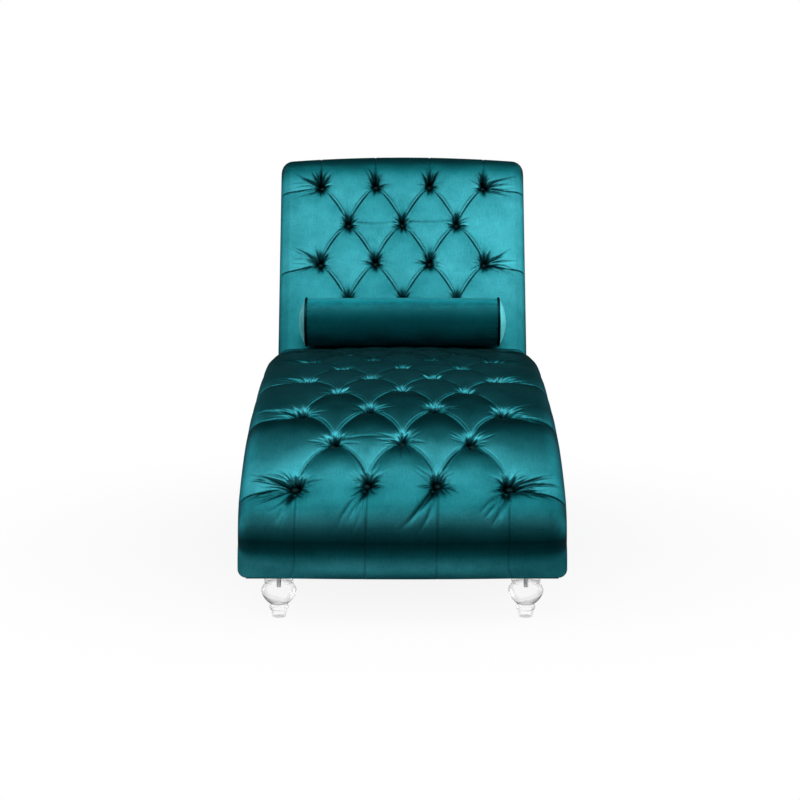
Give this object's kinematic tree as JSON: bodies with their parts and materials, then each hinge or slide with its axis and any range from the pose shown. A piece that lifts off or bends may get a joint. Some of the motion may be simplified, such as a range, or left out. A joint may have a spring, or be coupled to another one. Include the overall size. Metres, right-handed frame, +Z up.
{
  "type": "chaise longue",
  "caption": "Armless tufted velvet chaise longue with an S-shaped seat, a rolled reclined back, a loose bolster and clear turned feet.",
  "frame": {"origin": "centre of the footprint of the whole chaise, on the floor under the feet", "axes": "+X to the right as seen from the foot end, +Y from the foot end to the head end, +Z up"},
  "size_m": [0.61, 1.5586, 0.8133],
  "materials": {
    "velvet": "teal velvet with a directional sheen",
    "welt": "velvet-covered piping",
    "filling": "polyester filling",
    "dust_sheet": "black non-woven sheet",
    "acrylic": "clear polished acrylic",
    "steel": "zinc-plated steel",
    "twine": "waxed twine",
    "toggle_plastic": "moulded plastic",
    "plywood": "raw plywood",
    "timber": "raw softwood"
  },
  "bodies": {
    "chaise": {"back_buttons": "velvet", "back_deck": "plywood", "back_pad": "velvet", "back_slats": "timber", "back_toggles": "toggle_plastic", "back_twines": "twine", "corner_blocks": "timber", "crook_rail": "timber", "dust_cover": "dust_sheet", "foot_studs": "steel", "frame_screws": "steel", "front_left_foot": "acrylic", "front_rail": "timber", "front_right_foot": "acrylic", "left_side_cover": "velvet", "left_side_panel": "plywood", "middle_rail": "timber", "outside_back_cover": "velvet", "rear_left_foot": "acrylic", "rear_rail": "timber", "rear_right_foot": "acrylic", "right_side_cover": "velvet", "right_side_panel": "plywood", "seat_buttons": "velvet", "seat_deck": "plywood", "seat_pad": "velvet", "seat_slats": "timber", "seat_toggles": "toggle_plastic", "seat_twines": "twine", "tee_nuts": "steel", "top_rail": "timber"},
    "bolster": {"bolster_filling": "filling", "bolster_left_cap": "velvet", "bolster_right_cap": "velvet", "bolster_tube": "velvet", "bolster_welts": "welt"}
  },
  "joints": [
    {"name": "bolster_lift", "type": "slide", "parent": "chaise", "child": "bolster", "axis": [0, 0, 1], "range_m": [0, 0.45]}
  ]
}
